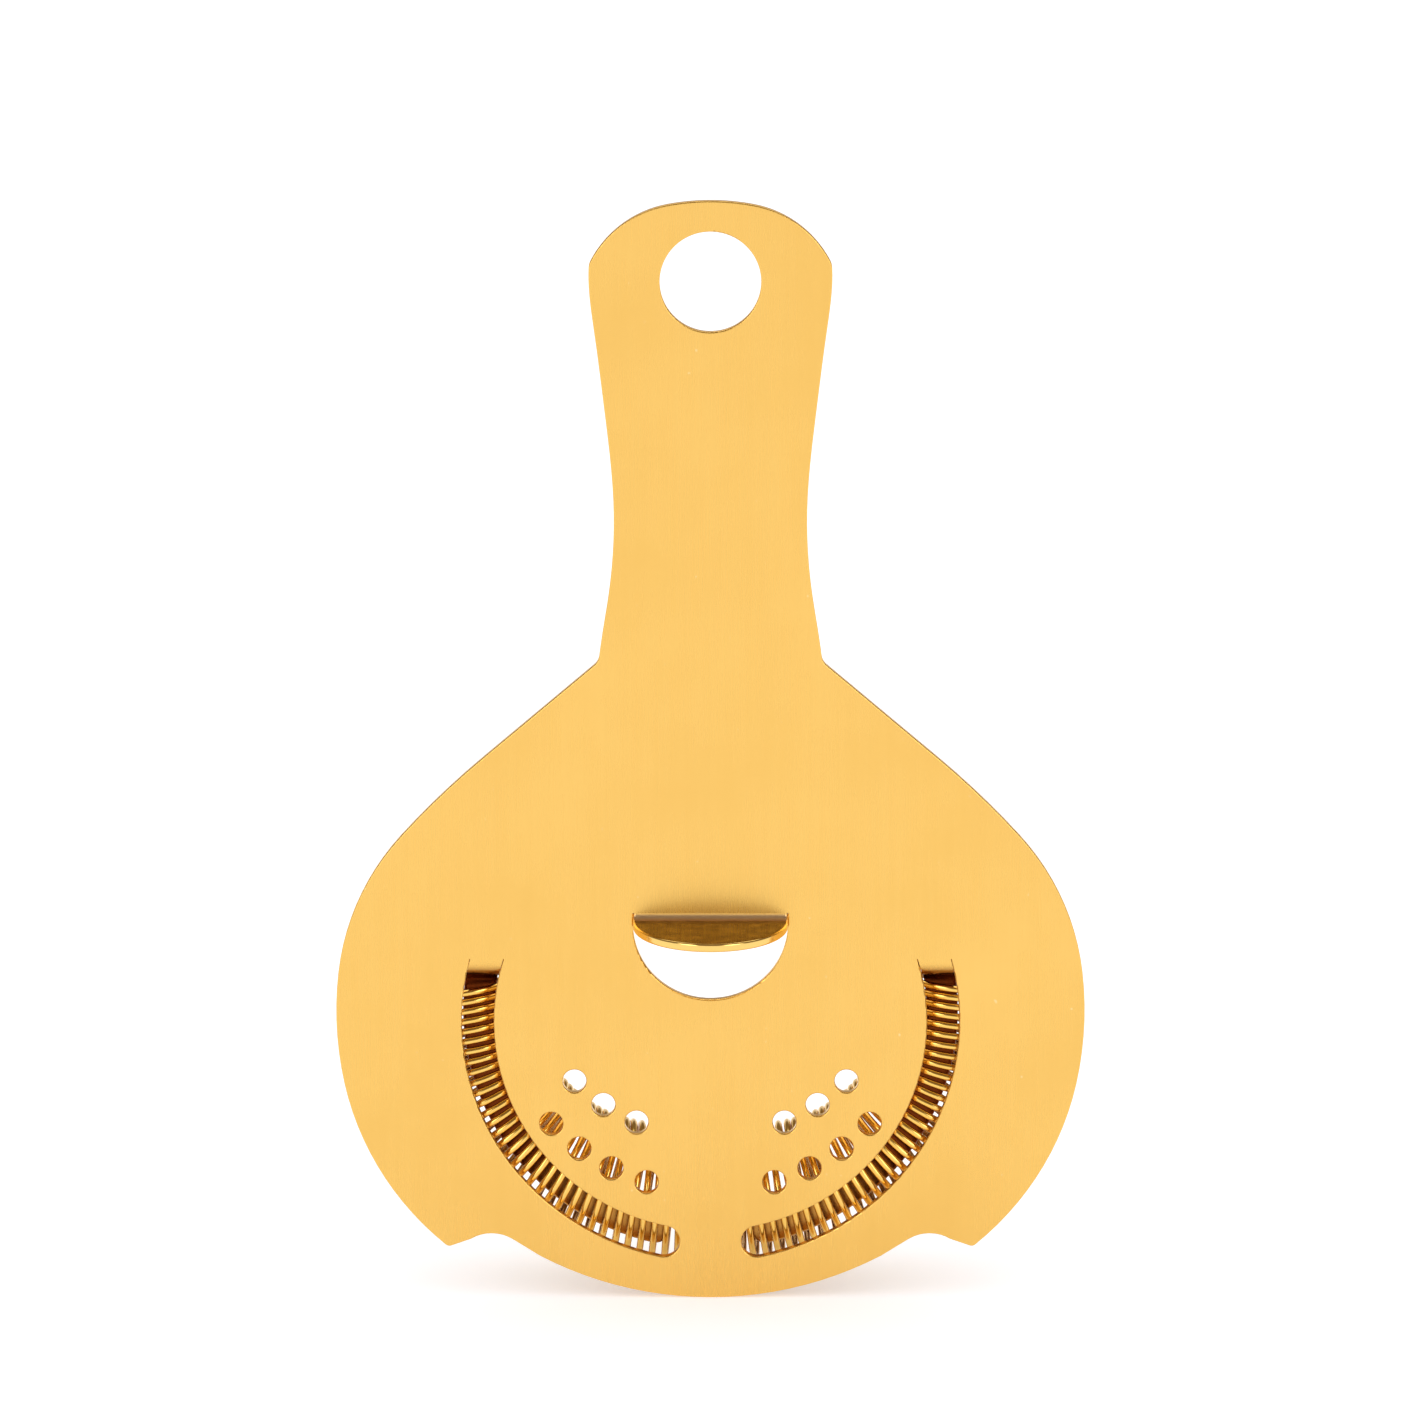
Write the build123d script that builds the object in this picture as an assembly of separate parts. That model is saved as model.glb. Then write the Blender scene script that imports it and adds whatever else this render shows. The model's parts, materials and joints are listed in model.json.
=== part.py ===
"""Flat hawthorne strainer: one stamped plate and one coil spring threaded on its two prongs.

Millimetres. +Z runs up the handle, -Y is the front (the finger tab's side), +Y the back.
The origin is the centre of the arc slots, on the plate's back face.
"""
import math
import os

from build123d import *

# ---- driving dimensions -------------------------------------------------------------------
SHEET = 1.2            # thickness of the stamped sheet
EDGE = 0.2             # rounding that tumbling leaves on the sheet's edges

TOP_Z = 108.7          # top of the handle
BOTTOM_Z = -37.6       # lowest point of the head
CROWN_R, CROWN_TURN = 30.0, 10.5          # flat arc over the top of the handle
CAP_R, CAP_TURN = 14.1, 53.5              # rounder arcs either side of it
WAIST = [(14.90, 91.5), (13.60, 81.1), (12.48, 67.8), (13.10, 57.8)]   # half widths of the handle
NECK_HALF_WIDTH, NECK_Z = 14.50, 48.4     # where the handle meets the shoulders
CORNER_R = 2.0         # rounding in plan where handle, cap and shoulders meet
SHOULDER_Z = 35.54     # the straight shoulder ends here and the round head begins
SHOULDER_TILT = 49.6   # degrees between shoulder and handle axis
# tangent arcs from shoulder to ear: radius, and the tilt from the handle axis at its end
HEAD_ARCS = [(112.6, 42.0), (33.4, 6.9), (46.8, -11.75), (39.2, -50.5)]
BOTTOM_R, LIP_ANGLE = 47.1, 28.5          # arc of the pouring edge, and its half angle
NOTCH_X, NOTCH_Z, NOTCH_R = 28.85, -34.0, 5.2   # round notch beside each ear
NOTCH_FLANK = 31.0     # degrees, tilt of the notch's straight flanks
EAR_R = 0.8            # rounding of the ear tips

SLOT_R, SLOT_WIDTH = 30.48, 4.2           # arc slots: middle radius and width
SLOT_TOP_Z = 8.6       # level top end of a slot, at the prong's bend
OVER = 25.0            # degrees above horizontal where a band is started, to cut its top level
SLOT_END = 7.7         # degrees from straight down where a slot ends
HOLE_R = 1.55          # drain holes
# rows of drain holes on each side: arc's centre height, arc's radius, first angle, step, count
HOLE_ROWS = [(9.2, 24.75, 43.9, 11.5, 3), (5.25, 28.25, 42.25, 10.15, 4)]
HANG_R, HANG_Z = 6.5, 98.2                # hanging hole in the handle

TAB_R = 10.1           # finger tab and the D-shaped hole that it is bent from
TAB_CENTRE_Z = 13.2    # centre of the D's round end
TAB_BEND_Z = 14.8      # the tab's bend starts here
TAB_BEND_R = 0.8       # inside radius of that bend
TAB_DROOP = 3.0        # degrees that the tab falls short of a right angle
TAB_EDGE = 0.35        # rounding of the tab's edges, which are polished for the finger

PRONG_GAP = 3.8        # from the plate's back face to the prong's front face
PRONG_WIDTH = 4.14     # the slot's width less the shear's clearance
PRONG_END = 10.0       # degrees from straight down where a prong ends
PRONG_EDGE = 0.35      # rounding of the prong's edges, for the spring to slide over
JOGGLE_R = 1.5         # inside radius of both bends in the joggle

WIRE_R = 0.45          # spring wire
COIL_R = 8.85          # coil radius to the middle of the wire
COIL_Y = 9.7           # depth of the coil's centre line behind the plate
FRONT_Z = -26.8        # height of the centre line at the spring's front
# each half of the centre line is these tangent arcs, from the front: radius and turn in degrees
PATH_ARCS = [(60.0, 11.0), (25.5, 70.0), (200.0, 2.7)]
TURNS_PER_SIDE = 36
LEFT_TURNS = 35.5      # the left end stops half a turn earlier, clear of its prong's joggle
FRONT_TURNS_PER_SIDE = 14                 # turns of the front section, which flexes as one
PITCH_GROWTH = 0.03    # how much wider the turns stand at the front than on average
CLOSING, CLOSING_POWER = 0.02, 12         # how the last few turns of each leg close up
ARCS_PER_TURN = 4      # tangent arcs that the swept wire is made of

SPLIT_Z = 50.0         # the sheet is stored as a handle and a head that meet here
NEAR = 0.05            # how close a vertex or edge must be to a place to be picked by it


# ---- small helpers ------------------------------------------------------------------------
def polar(radius, degrees, centre_z=0.0):
    """Point in the plate's plane: 0 degrees is +X, 90 is +Z."""
    a = math.radians(degrees)
    return (radius * math.cos(a), centre_z + radius * math.sin(a))


def upright(sketch, front_y, depth):
    """A plan sketch (X, Z) stood up and given depth from front_y towards the back."""
    plane = Plane(origin=(0, front_y, 0), x_dir=(1, 0, 0), z_dir=(0, -1, 0))
    return extrude(plane * sketch, amount=-depth)


# ---- the sheet ----------------------------------------------------------------------------
def half_outline():
    """Right half of the plate's outline, from the top of the handle down to the pouring edge."""
    crown = JernArc((0, TOP_Z), (1, 0), CROWN_R, -CROWN_TURN)
    cap = JernArc(crown @ 1, crown % 1, CAP_R, -CAP_TURN)
    neck = (NECK_HALF_WIDTH, NECK_Z)
    side = Spline(cap @ 1, *WAIST, neck, tangents=[(0.08, -1), (0.115, -1)])
    tilt = math.radians(SHOULDER_TILT)
    reach = NECK_Z - SHOULDER_Z
    shoulder = Line(neck, (neck[0] + reach * math.tan(tilt), SHOULDER_Z))
    edges = [crown, cap, side, shoulder]
    heading = SHOULDER_TILT
    for radius, next_heading in HEAD_ARCS:
        edges.append(JernArc(edges[-1] @ 1, edges[-1] % 1, radius, next_heading - heading))
        heading = next_heading
    flank = math.radians(NOTCH_FLANK)
    dx, dz = NOTCH_R * math.sin(flank), NOTCH_R * math.cos(flank)
    outer = (NOTCH_X + dx, NOTCH_Z + dz)
    inner = (NOTCH_X - dx, NOTCH_Z + dz)
    edges.append(Line(edges[-1] @ 1, outer))
    edges.append(ThreePointArc(outer, (NOTCH_X, NOTCH_Z + NOTCH_R), inner))
    bottom_centre = BOTTOM_Z + BOTTOM_R
    lip = polar(BOTTOM_R, -90 + LIP_ANGLE, bottom_centre)
    half_way = polar(BOTTOM_R, -90 + LIP_ANGLE / 2, bottom_centre)
    edges.append(Line(inner, lip))
    edges.append(ThreePointArc(lip, half_way, (0, BOTTOM_Z)))
    return Curve() + edges


def outline():
    """The plate's outline as a face, with its six corners rounded in plan."""
    half = half_outline()
    cap_corner = half.edges()[1] @ 1
    ear_corner = half.edges()[3 + len(HEAD_ARCS)] @ 1
    corners = [(cap_corner, CORNER_R), (Vector(NECK_HALF_WIDTH, NECK_Z), CORNER_R), (ear_corner, EAR_R)]
    face = make_face(half + mirror(half, about=Plane.YZ))
    for corner, radius in corners:
        here = [v for v in face.vertices() if (Vector(abs(v.X), v.Y) - corner).length < NEAR]
        face = fillet(here, radius)
    return face


def arc_band(radius, width, start, end, round_end):
    """Band of the given width along an arc from start to end degrees, with an optional round end."""
    tip = end - math.copysign(math.degrees(width / 2 / radius), end - start) if round_end else end
    middle = CenterArc((0, 0), radius, start, tip - start)
    band = trace(middle, width)
    if round_end:
        band += Pos(*polar(radius, tip)) * Circle(width / 2)
    return band


def level_band(width, top_z, end):
    """Band along the slots' arc from a level top to its round end."""
    band = arc_band(SLOT_R, width, OVER, end, True)
    return band - Pos(SLOT_R, top_z + SLOT_R) * Rectangle(2 * SLOT_R, 2 * SLOT_R)


def cut_outs():
    """Everything stamped through the sheet, as one plan sketch."""
    side = level_band(SLOT_WIDTH, SLOT_TOP_Z, -90 + SLOT_END)
    for centre_z, radius, first, step, count in HOLE_ROWS:
        for i in range(count):
            side += Pos(*polar(radius, -(first + i * step), centre_z)) * Circle(HOLE_R)
    flap = Pos(0, TAB_CENTRE_Z) * Circle(TAB_R)
    flap &= Pos(0, TAB_BEND_Z - TAB_R * 2) * Rectangle(TAB_R * 4, TAB_R * 4)
    flap += Pos(0, (TAB_CENTRE_Z + TAB_BEND_Z) / 2) * Rectangle(2 * TAB_R, TAB_BEND_Z - TAB_CENTRE_Z)
    return side + mirror(side, about=Plane.YZ) + flap + Pos(0, HANG_Z) * Circle(HANG_R)


def sheet():
    """The flat of the sheet with rounded edges; the bend lines of tab and prongs stay square."""
    flat = upright(outline() - cut_outs(), -SHEET, SHEET)

    def is_rim(edge):
        middle = edge.center()
        on_a_face = min(abs(middle.Y), abs(middle.Y + SHEET)) < NEAR
        level = edge.geom_type == GeomType.LINE and abs((edge % 0.5).X) > 0.999
        return on_a_face and not (level and min(abs(middle.Z - z) for z in (TAB_BEND_Z, SLOT_TOP_Z)) < NEAR)

    return fillet(flat.edges().filter_by(is_rim), EDGE)


def finger_tab():
    """Half-round flap bent forward; its bend meets the sheet face to face."""
    axis_y, axis_z = -SHEET - TAB_BEND_R, TAB_BEND_Z
    outside = TAB_BEND_R + SHEET
    quarter = Pos(outside, -outside) * Rectangle(2 * outside, 2 * outside)
    profile = Plane.YZ * (Pos(axis_y, axis_z) * (Circle(outside) - Circle(TAB_BEND_R) & quarter))
    bend = extrude(profile, amount=TAB_R, both=True)
    droop = math.radians(TAB_DROOP)
    keep = Plane(origin=(0, axis_y, axis_z), z_dir=(0, math.cos(droop), math.sin(droop)))
    bend = split(bend, bisect_by=keep, keep=Keep.TOP)
    # the flat starts where the bend ends, short of a right angle by the droop
    start = (axis_y + TAB_BEND_R * math.sin(droop), axis_z - TAB_BEND_R * math.cos(droop))
    upper = Plane(origin=(0, *start), x_dir=(1, 0, 0), z_dir=(0, -math.sin(droop), math.cos(droop)))
    half_disc = Circle(TAB_R) & Pos(0, -TAB_R) * Rectangle(2 * TAB_R, 2 * TAB_R)
    tab = bend + extrude(upper * half_disc, amount=-SHEET)
    # the straight edges along X are where the bend meets the sheet and the tab's flat
    rims = [e for e in tab.edges() if e.geom_type != GeomType.LINE or abs((e % 0.5).X) < 0.5]
    return fillet(rims, TAB_EDGE)


def prong():
    """Right-hand prong: joggled back at the slot's upper end, then parallel to the sheet."""
    neutral = JOGGLE_R + SHEET / 2
    low_z = SLOT_TOP_Z - 2 * neutral
    tip = -90 + PRONG_END
    band = upright(level_band(PRONG_WIDTH, low_z, tip), PRONG_GAP, SHEET)
    band = fillet([e for e in band.edges() if e.geom_type != GeomType.LINE], PRONG_EDGE)
    # side view of the joggle, back and up; the bends meet, so their radius is a touch under the run
    front, back = -SHEET / 2, PRONG_GAP + SHEET / 2
    line = FilletPolyline(
        (back, low_z), (back, low_z + neutral), (front, low_z + neutral), (front, SLOT_TOP_Z),
        radius=neutral * 0.999,
    )
    joggle = extrude(Plane.YZ * trace(line, SHEET), amount=2 * SLOT_R)
    whole_height = upright(level_band(PRONG_WIDTH, SLOT_TOP_Z, tip), -SHEET, PRONG_GAP + 2 * SHEET)
    return band + (joggle & whole_height)


# ---- the spring ---------------------------------------------------------------------------
PATH_LENGTH = sum(radius * math.radians(turn) for radius, turn in PATH_ARCS)


def centre_line(distance):
    """Place (X, Z) on the right half of the spring's centre line, and its heading, at a distance."""
    x, z, heading = 0.0, FRONT_Z, 0.0
    for radius, turn in PATH_ARCS:
        part = min(distance / radius, math.radians(turn))
        x += radius * (math.sin(heading + part) - math.sin(heading))
        z += radius * (math.cos(heading) - math.cos(heading + part))
        heading += part
        distance -= radius * part
    return x + distance * math.cos(heading), z + distance * math.sin(heading), heading


def wire_point(turn):
    """Middle of the wire `turn` turns from the front, positive towards +X."""
    u = abs(turn) / TURNS_PER_SIDE
    spread = (1 + PITCH_GROWTH + CLOSING) * u - PITCH_GROWTH * u**3 - CLOSING * u**CLOSING_POWER
    x, z, heading = centre_line(PATH_LENGTH * spread)
    around = math.pi + 2 * math.pi * turn
    out = COIL_R * math.cos(around)
    x += out * math.sin(heading)
    z -= out * math.cos(heading)
    return Vector(math.copysign(x, turn) if turn else x, COIL_Y + COIL_R * math.sin(around), z)


def coil(first, last):
    """The wire between two turn numbers, as tangent arcs swept with a round section."""
    step = 1 / ARCS_PER_TURN
    count = round((last - first) / step)
    near = 1e-4
    heading = (wire_point(first + near) - wire_point(first - near)).normalized()
    edges = []
    for i in range(count):
        edge = Edge.make_tangent_arc(
            wire_point(first + i * step), heading, wire_point(first + (i + 1) * step)
        )
        edges.append(edge)
        heading = edge % 1
    section = Plane(origin=edges[0] @ 0, z_dir=edges[0] % 0) * Circle(WIRE_R)
    return sweep(section, path=Wire(edges))


# ---- build and export ---------------------------------------------------------------------
def main():
    os.makedirs("parts", exist_ok=True)
    flat = sheet()
    neck = Plane(origin=(0, 0, SPLIT_Z), z_dir=(0, 0, 1))
    right_prong = prong()
    nodes = {
        "handle": split(flat, bisect_by=neck, keep=Keep.TOP),
        "head": split(flat, bisect_by=neck, keep=Keep.BOTTOM),
        "finger_tab": finger_tab(),
        "right_prong": right_prong,
        "left_prong": mirror(right_prong, about=Plane.YZ),
        "spring_front": coil(-FRONT_TURNS_PER_SIDE, FRONT_TURNS_PER_SIDE),
        "spring_right_leg": coil(FRONT_TURNS_PER_SIDE, TURNS_PER_SIDE),
        "spring_left_leg": coil(-LEFT_TURNS, -FRONT_TURNS_PER_SIDE),
    }
    for name, shape in nodes.items():
        export_step(shape, f"parts/{name}.step")
        box = shape.bounding_box()
        print(name, len(shape.solids()), round(shape.volume, 2), box.min, box.max)


main()
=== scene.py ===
"""Flat hawthorne strainer: satin gold plate and its coil spring, in a plain studio.

Metres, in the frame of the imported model: +Z up the handle, -Y the front, +Y the spring's side,
origin at the centre of the arc slots on the plate's back face.
"""
import json
import math

import bpy
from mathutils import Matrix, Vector


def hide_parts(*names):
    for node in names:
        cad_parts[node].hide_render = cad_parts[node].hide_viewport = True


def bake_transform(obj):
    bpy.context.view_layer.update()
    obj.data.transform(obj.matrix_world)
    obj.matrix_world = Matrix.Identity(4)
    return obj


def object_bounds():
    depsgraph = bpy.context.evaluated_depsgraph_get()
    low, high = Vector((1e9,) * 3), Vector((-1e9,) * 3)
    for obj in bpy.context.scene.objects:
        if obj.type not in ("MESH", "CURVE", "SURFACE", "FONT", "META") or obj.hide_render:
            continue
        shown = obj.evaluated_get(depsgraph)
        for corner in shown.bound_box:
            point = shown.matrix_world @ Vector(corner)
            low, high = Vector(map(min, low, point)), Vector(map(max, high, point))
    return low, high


MM = 0.001

# ---- the spring, as the CAD has it --------------------------------------------------------
WIRE_R = 0.45 * MM
COIL_R = 8.85 * MM
COIL_Y = 9.7 * MM          # depth of the coil's centre line behind the plate
FRONT_Z = -26.8 * MM       # height of the centre line at the spring's front
# each half of the centre line is these tangent arcs, from the front: radius and turn in degrees
PATH_ARCS = [(60.0 * MM, 11.0), (25.5 * MM, 70.0), (200.0 * MM, 2.7)]
PATH_LENGTH = sum(radius * math.radians(turn) for radius, turn in PATH_ARCS)
TURNS_PER_SIDE = 36
LEFT_TURNS = 35.5          # the left end stops half a turn earlier
PITCH_GROWTH = 0.03        # how much wider the turns stand at the front than on average
CLOSING, CLOSING_POWER = 0.02, 12         # how the last few turns of each leg close up
STEPS_PER_TURN = 40        # rings of the wire's mesh in one turn
RING_POINTS = 16           # points round the wire
BLEND_FROM, BLEND_TO = 5, 22              # turns between which the front passes into a leg
SMALL_TURN = 1e-3          # step for the wire's direction

# ---- camera -------------------------------------------------------------------------------
CAMERA_ELEVATION = 13.0    # degrees above the plate's normal
CAMERA_DISTANCE = 0.9908   # from the aim
AIM = Vector((0.33, -1.2, 41.6)) * MM     # on the plate's front face
LENS, SENSOR = 192.9, 36.0
CLIP_START, CLIP_END = 0.05, 50

# ---- studio -------------------------------------------------------------------------------
FLOOR_HALF = 6.0
FLOOR_COLOR, FLOOR_GLOW = (0.83, 0.825, 0.86, 1), 0.42
DAYLIGHT = 0.95            # light on the floor from all round
ROOM = (0.20, 0.14, 0.08, 1)              # what the gloss sees between the lamps
LAMP = (3.2, 3.2, 3.2, 1)
TOP_LAMP = 0.55            # the top lamp's strength as a part of a side lamp's
BACKDROP = 0.20            # strength of the low white backdrop all round, likewise
# where the gloss sees them, as parts of a unit direction: from dark to full, and back to dark
TOP_LAMP_Z, TOP_LAMP_Y = (0.72, 0.85), (-0.05, 0.12)
SIDE_LAMP_X = (0.28, 0.40), (0.62, 0.74)
SIDE_LAMP_Z = (0.0, 0.08), (0.45, 0.6)
SIDE_LAMP_Y = (-0.4, -0.2)
BACKDROP_Z = (0.20, 0.34)

# ---- finishes, and painted shade and light: pairs are the two ends that a noise or a place drifts between ---
SATIN_TONES = (0.80, 0.48, 0.115, 1), (0.87, 0.545, 0.145, 1)
SATIN_ROUGHNESS = (0.24, 0.30)
SATIN_SPECK = (1.0, 0.85, 0.55, 1)
# painted shade on the tab's upward face: two dark tones that its streaks drift between
TAB_TOP_SHADE_TONES = (0.44, 0.27, 0.012, 1), (0.76, 0.52, 0.09, 1)
TAB_SPECK = (0.95, 0.75, 0.42, 1)
TAB_LIP = (0.86, 0.58, 0.17, 1)
TAB_BEND_TONES = (0.84, 0.51, 0.13, 1), (0.96, 0.72, 0.47, 1)
TAB_BEND_Y = (-2.3 * MM, -1.8 * MM)       # depths between which the flat passes into the bend
TAB_ROUGHER = (-0.13, 0.06)               # the flat's and the bend's roughness above the plate's
# painted shade (dark) and painted light (pale) on the prongs behind the wires
PRONG_SHADE_AND_LIGHT_TONES = (0.17, 0.035, 0.006, 1), (0.50, 0.24, 0.05, 1)
PRONG_PALE_Z = (-27.0 * MM, -19.0 * MM)   # heights between which the painted light at the low end turns to painted shade
PRONG_ROOT_Z = (6.0 * MM, 8.0 * MM)       # heights between which it takes the plate's gold again
PRONG_ROUGHER = -0.05
WIRE_TONES = (0.86, 0.54, 0.12, 1), (0.93, 0.61, 0.16, 1)
WIRE_INSIDE_SHADE = (0.52, 0.31, 0.14, 1)       # painted shade towards the coil's axis
WIRE_ROUGHNESS = (0.14, 0.20)
NOISE_SPAN = (0.3, 0.7)                   # nearly all of a noise lies between these


# ---- shader helpers -----------------------------------------------------------------------
class Nodes:
    """Short calls for building a node tree."""

    def __init__(self, tree):
        self.tree = tree
        tree.nodes.clear()

    def add(self, kind, inputs=None, **settings):
        node = self.tree.nodes.new(kind)
        for key, value in settings.items():
            setattr(node, key, value)
        for key, value in (inputs or {}).items():
            self.put(node.inputs[key], value)
        return node

    def put(self, socket, value):
        if isinstance(value, bpy.types.NodeSocket):
            self.tree.links.new(value, socket)
        else:
            socket.default_value = value

    def math(self, operation, *values):
        return self.add("ShaderNodeMath", dict(enumerate(values)), operation=operation).outputs[0]

    def axes(self, vector):
        """The X, Y and Z of a vector."""
        return self.add("ShaderNodeSeparateXYZ", {"Vector": vector}).outputs

    def noise(self, coords, scale, detail=2.0, roughness=0.5):
        """Noise from 0 to 1 whose grain is 1/scale metres along each axis."""
        place = self.add("ShaderNodeMapping", {"Vector": coords, "Scale": scale})
        inputs = {"Vector": place.outputs[0], "Scale": 1.0, "Detail": detail, "Roughness": roughness}
        return self.add("ShaderNodeTexNoise", inputs).outputs["Fac"]

    def ramp(self, value, low, high, to_low=0.0, to_high=1.0, smooth=True):
        kind = "SMOOTHSTEP" if smooth else "LINEAR"
        inputs = {"Value": value, "From Min": low, "From Max": high, "To Min": to_low, "To Max": to_high}
        return self.add("ShaderNodeMapRange", inputs, interpolation_type=kind).outputs[0]

    def drift(self, noise, low, high):
        """A value that drifts between two ends with the noise."""
        return self.ramp(noise, *NOISE_SPAN, low, high, smooth=False)

    def window(self, value, rise, fall):
        """1 between the rise and the fall, 0 outside them."""
        return self.math("MULTIPLY", self.ramp(value, *rise), self.ramp(value, *fall, 1.0, 0.0))

    def mix(self, factor, a, b):
        """Colour from a to b; the colour sockets of the Mix node are known by number only."""
        node = self.add("ShaderNodeMix", data_type="RGBA")
        self.put(node.inputs["Factor"], factor)
        self.put(node.inputs[6], a)
        self.put(node.inputs[7], b)
        return node.outputs[2]

    def metal(self, color, roughness, height, strength, distance):
        """A metal with fine bumps, as the whole material."""
        bump = self.add("ShaderNodeBump", {"Height": height, "Strength": strength, "Distance": distance})
        shader = self.add("ShaderNodeBsdfPrincipled", {
            "Base Color": color, "Metallic": 1.0, "Roughness": roughness, "Normal": bump.outputs[0],
        })
        self.add("ShaderNodeOutputMaterial", {"Surface": shader.outputs[0]})


def new_material(name):
    material = bpy.data.materials.new(name)
    material.use_nodes = True
    return material, Nodes(material.node_tree)


# ---- materials ----------------------------------------------------------------------------
def satin_gold(name="satin_gold", patch=None):
    """Gold plating on sheet that was brushed up and down the handle before plating.

    patch makes (factor, colour, added roughness) from the place: the tone and roughness that differ there,
    with the painted shade and light of the tab and the prongs.
    """
    material, n = new_material(name)
    place = n.add("ShaderNodeTexCoord").outputs["Object"]
    hairline = n.noise(place, (6500, 6500, 90), detail=3)
    streak = n.noise(place, (1100, 1100, 28), detail=3)
    cloud = n.noise(place, (45, 45, 45), detail=4, roughness=0.6)
    grain = n.noise(place, (2600, 2600, 2600), detail=2)
    speck = n.ramp(n.noise(place, (900, 900, 900), detail=1), 0.76, 0.82)

    tone = n.math("ADD", n.math("MULTIPLY", hairline, 0.2), n.math("MULTIPLY", streak, 0.12))
    tone = n.math("ADD", tone, n.math("MULTIPLY", cloud, 0.68))
    color = n.mix(n.drift(tone, 0.0, 1.0), *SATIN_TONES)
    color = n.mix(n.math("MULTIPLY", speck, 0.3), color, SATIN_SPECK)
    rough = n.math("ADD", n.drift(hairline, -0.02, 0.02), n.drift(cloud, *SATIN_ROUGHNESS))
    if patch:
        factor, patch_color, patch_rough = patch(n, place)
        color = n.mix(factor, color, patch_color)
        rough = n.math("ADD", rough, n.math("MULTIPLY", factor, patch_rough))
    height = n.math("ADD", n.math("MULTIPLY", hairline, 0.7), n.math("MULTIPLY", grain, 0.3))
    n.metal(color, rough, height, 0.12, 0.03 * MM)
    return material


def tab_patch(n, place):
    """The tab's flat is smoother than the plate, streaked and specked; its upward face is painted dark,
    painted shade for what it reflects at a grazing view. Its bend is paler where it turns upward.
    """
    upward = n.axes(n.add("ShaderNodeTexCoord").outputs["Normal"])["Z"]
    # painted shade: the flat's upward face takes the dark top tones, and its lip keeps a gold near the
    # plate's
    top = n.ramp(upward, 0.9, 0.99)
    top_shade_streaks = n.ramp(n.noise(place, (500, 900, 900), detail=4, roughness=0.7), 0.35, 0.7)
    speck = n.ramp(n.noise(place, (2600, 2600, 2600), detail=1), 0.70, 0.78)
    flat_color = n.mix(top, TAB_LIP, n.mix(speck, n.mix(top_shade_streaks, *TAB_TOP_SHADE_TONES), TAB_SPECK))
    bend_color = n.mix(n.ramp(upward, 0.02, 0.75), *TAB_BEND_TONES)
    bend = n.ramp(n.axes(place)["Y"], *TAB_BEND_Y)
    return 1.0, n.mix(bend, flat_color, bend_color), n.ramp(bend, 0, 1, *TAB_ROUGHER)


def prong_patch(n, place):
    """Prongs are painted dark red-brown, painted shade for the dark between the wires, and paler towards
    their low ends, painted light where they are lit at the slots' bottoms.
    """
    height = n.axes(place)["Z"]
    # painted light at the low ends, and painted shade above them
    low = n.ramp(height, *PRONG_PALE_Z, 1.0, 0.0)
    high = n.ramp(height, *PRONG_ROOT_Z)
    return n.math("SUBTRACT", 1.0, high), n.mix(low, *PRONG_SHADE_AND_LIGHT_TONES), PRONG_ROUGHER


def polished_gold():
    """Bright plating on drawn wire."""
    material, n = new_material("polished_gold")
    place = n.add("ShaderNodeTexCoord").outputs["Object"]
    cloud = n.noise(place, (400, 400, 400), detail=3, roughness=0.6)
    grain = n.noise(place, (3500, 3500, 3500), detail=2)
    color = n.mix(n.drift(cloud, 0.0, 1.0), *WIRE_TONES)
    # painted shade: the wire is darker on the side towards the coil's axis
    inside = n.add("ShaderNodeAttribute", attribute_name="inside").outputs["Fac"]
    color = n.mix(n.ramp(inside, 0.3, 0.7), color, WIRE_INSIDE_SHADE)
    n.metal(color, n.drift(cloud, *WIRE_ROUGHNESS), grain, 0.08, 0.02 * MM)
    return material


def floor_paint():
    """Matt white that glows a little, so that it comes out white."""
    material, n = new_material("floor_paint")
    shader = n.add("ShaderNodeBsdfPrincipled", {
        "Base Color": FLOOR_COLOR, "Roughness": 0.9, "Specular IOR Level": 0.0,
        "Emission Color": (1, 1, 1, 1), "Emission Strength": FLOOR_GLOW,
    })
    n.add("ShaderNodeOutputMaterial", {"Surface": shader.outputs[0]})
    return material


def paint(obj, material):
    """Every slot of the object gets this material."""
    if not obj.material_slots:
        obj.data.materials.append(material)
    for each in obj.material_slots:
        each.material = material


# ---- the spring ---------------------------------------------------------------------------
def centre_line(distance):
    """Place (X, Z) on the right half of the spring's centre line, and its heading, at a distance."""
    x, z, heading = 0.0, FRONT_Z, 0.0
    for radius, turn in PATH_ARCS:
        part = min(distance / radius, math.radians(turn))
        x += radius * (math.sin(heading + part) - math.sin(heading))
        z += radius * (math.cos(heading) - math.cos(heading + part))
        heading += part
        distance -= radius * part
    return x + distance * math.cos(heading), z + distance * math.sin(heading), heading


def wire_place(turn):
    """Middle of the wire `turn` turns from the front, and the outward direction there."""
    u = abs(turn) / TURNS_PER_SIDE
    spread = (1 + PITCH_GROWTH + CLOSING) * u - PITCH_GROWTH * u**3 - CLOSING * u**CLOSING_POWER
    x, z, heading = centre_line(PATH_LENGTH * spread)
    if turn < 0:
        x, heading = -x, -heading
    sideways = Vector((math.sin(heading), 0, -math.cos(heading)))
    around = math.pi + 2 * math.pi * turn
    outward = sideways * math.cos(around) + Vector((0, math.sin(around), 0))
    return Vector((x, COIL_Y, z)) + COIL_R * outward, outward


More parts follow.
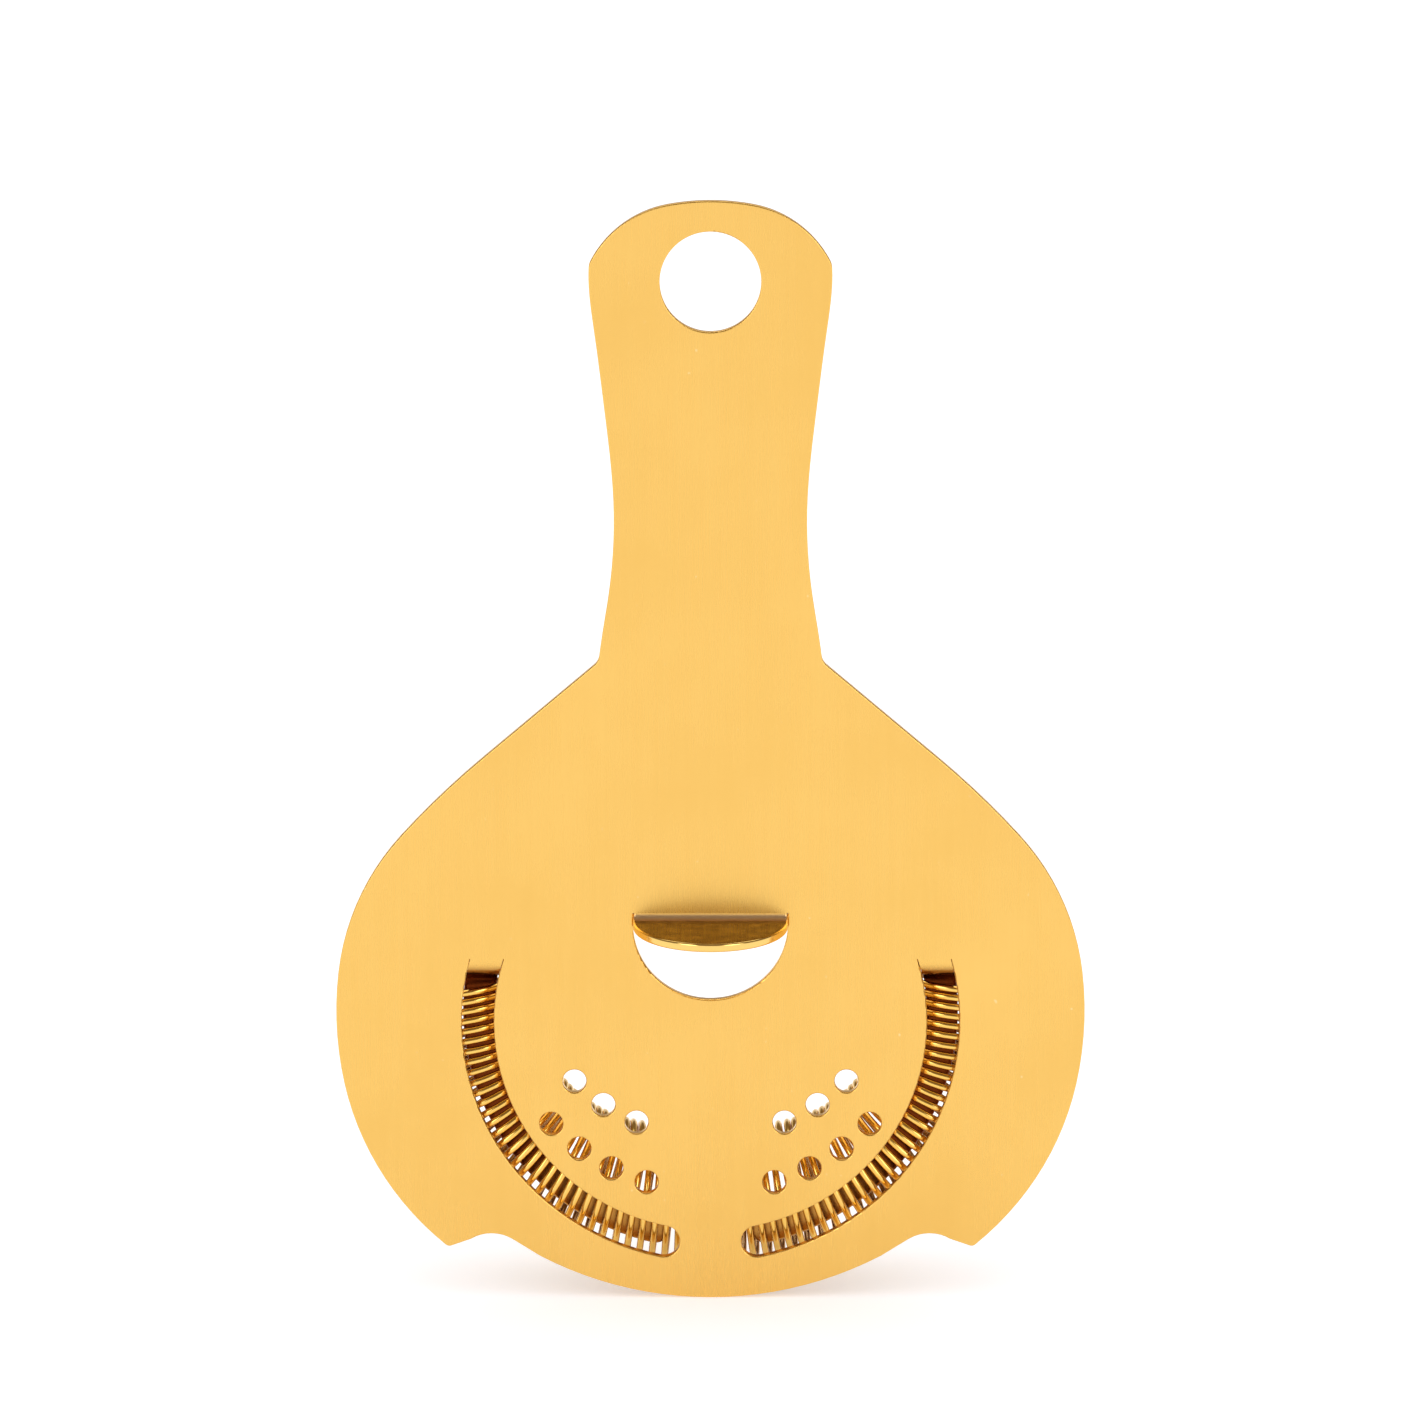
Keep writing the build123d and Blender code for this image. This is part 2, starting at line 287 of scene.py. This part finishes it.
def wire(name, first, last):
    """One closed mesh of the wire between two turn numbers.

    Its attribute "inside" is 0 on the wire's outer side and 1 on the side towards the coil's axis.
    """
    count = round(abs(last - first) * STEPS_PER_TURN)
    vertices = []
    for i in range(count + 1):
        turn = first + (last - first) * i / count
        middle, outward = wire_place(turn)
        along = (wire_place(turn + SMALL_TURN)[0] - wire_place(turn - SMALL_TURN)[0]).normalized()
        across = along.cross(outward).normalized()
        outward = across.cross(along)
        for k in range(RING_POINTS):
            angle = 2 * math.pi * k / RING_POINTS
            vertices.append(middle + WIRE_R * (math.cos(angle) * outward + math.sin(angle) * across))
    faces = []
    for i in range(count):
        for k in range(RING_POINTS):
            a, b = i * RING_POINTS + k, i * RING_POINTS + (k + 1) % RING_POINTS
            faces.append((a, b, b + RING_POINTS, a + RING_POINTS))
    faces.append(tuple(reversed(range(RING_POINTS))))
    faces.append(tuple(range(count * RING_POINTS, (count + 1) * RING_POINTS)))
    mesh = bpy.data.meshes.new(name)
    mesh.from_pydata(vertices, [], faces)
    inside = mesh.attributes.new("inside", "FLOAT", "POINT")
    for i in range(len(vertices)):
        inside.data[i].value = (1 - math.cos(2 * math.pi * (i % RING_POINTS) / RING_POINTS)) / 2
    mesh.shade_smooth()
    for end_cap in mesh.polygons[-2:]:
        end_cap.use_smooth = False
    obj = bpy.data.objects.new(name, mesh)
    bpy.context.scene.collection.objects.link(obj)
    return obj


def spring(material):
    """Two halves of one wire; each bends smoothly from the spring's front into its leg."""
    for side, last in (("left", -LEFT_TURNS), ("right", TURNS_PER_SIDE)):
        half = wire(f"spring_wire_{side}", 0, last)
        paint(half, material)
        start, end = (wire_place(math.copysign(turn, last))[0] for turn in (BLEND_FROM, BLEND_TO))
        start.y = end.y = COIL_Y
        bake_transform(half)
        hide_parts("spring_front", f"spring_{side}_leg")


# ---- studio -------------------------------------------------------------------------------
def floor(height):
    corners = [(-1, -1), (1, -1), (1, 1), (-1, 1)]
    mesh = bpy.data.meshes.new("floor")
    mesh.from_pydata([(x * FLOOR_HALF, y * FLOOR_HALF, height) for x, y in corners], [], [(0, 1, 2, 3)])
    obj = bpy.data.objects.new("floor", mesh)
    bpy.context.scene.collection.objects.link(obj)
    paint(obj, floor_paint())


def studio_world():
    """White light from all round for the floor and the sky.

    The gloss sees a dark room instead, with two side lamps in front, a top lamp and a low backdrop.
    """
    world = bpy.data.worlds.new("studio")
    bpy.context.scene.world = world
    world.use_nodes = True
    n = Nodes(world.node_tree)
    direction = n.add("ShaderNodeTexCoord").outputs["Generated"]
    axes = n.axes(direction)
    top_lamp = n.ramp(axes["Z"], *TOP_LAMP_Z, 0.0, TOP_LAMP)
    top_lamp = n.math("MULTIPLY", top_lamp, n.ramp(axes["Y"], *TOP_LAMP_Y))
    across = n.window(n.math("ABSOLUTE", axes["X"]), *SIDE_LAMP_X)
    side_lamps = n.math("MULTIPLY", across, n.window(axes["Z"], *SIDE_LAMP_Z))
    side_lamps = n.math("MULTIPLY", side_lamps, n.ramp(axes["Y"], *SIDE_LAMP_Y, 1.0, 0.0))
    backdrop = n.ramp(axes["Z"], *BACKDROP_Z, BACKDROP, 0.0)
    lamps = n.math("MAXIMUM", n.math("ADD", top_lamp, side_lamps), backdrop)
    gloss = n.mix(lamps, ROOM, LAMP)
    is_glossy = n.add("ShaderNodeLightPath").outputs["Is Glossy Ray"]
    color = n.mix(is_glossy, (DAYLIGHT, DAYLIGHT, DAYLIGHT, 1), gloss)
    background = n.add("ShaderNodeBackground", {"Color": color, "Strength": 1.0})
    n.add("ShaderNodeOutputWorld", {"Surface": background.outputs[0]})


def camera():
    data = bpy.data.cameras.new("camera")
    data.lens, data.sensor_width = LENS, SENSOR
    data.clip_start, data.clip_end = CLIP_START, CLIP_END
    obj = bpy.data.objects.new("camera", data)
    bpy.context.scene.collection.objects.link(obj)
    elevation = math.radians(CAMERA_ELEVATION)
    backwards = Vector((0, -math.cos(elevation), math.sin(elevation)))
    obj.location = AIM + CAMERA_DISTANCE * backwards
    obj.rotation_euler = (math.radians(90 - CAMERA_ELEVATION), 0, 0)
    bpy.context.scene.camera = obj


# ---- build --------------------------------------------------------------------------------
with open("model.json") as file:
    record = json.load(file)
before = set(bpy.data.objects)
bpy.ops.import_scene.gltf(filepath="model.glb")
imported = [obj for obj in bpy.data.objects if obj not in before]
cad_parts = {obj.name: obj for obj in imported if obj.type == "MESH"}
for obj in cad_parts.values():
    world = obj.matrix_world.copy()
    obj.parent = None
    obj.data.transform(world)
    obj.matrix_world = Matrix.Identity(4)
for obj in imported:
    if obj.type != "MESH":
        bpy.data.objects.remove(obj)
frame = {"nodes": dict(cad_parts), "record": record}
cad_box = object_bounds()

bpy.context.scene.view_settings.view_transform = "Standard"
camera()
floor(cad_box[0][2])
studio_world()

plate_gold = satin_gold()
golds = {
    "finger_tab": satin_gold("satin_gold_tab", tab_patch),
    "left_prong": satin_gold("satin_gold_prong", prong_patch),
}
golds["right_prong"] = golds["left_prong"]
for node in frame["record"]["behaviour"]["bodies"]["plate"]:
    paint(frame["nodes"][node], golds.get(node, plate_gold))
spring(polished_gold())
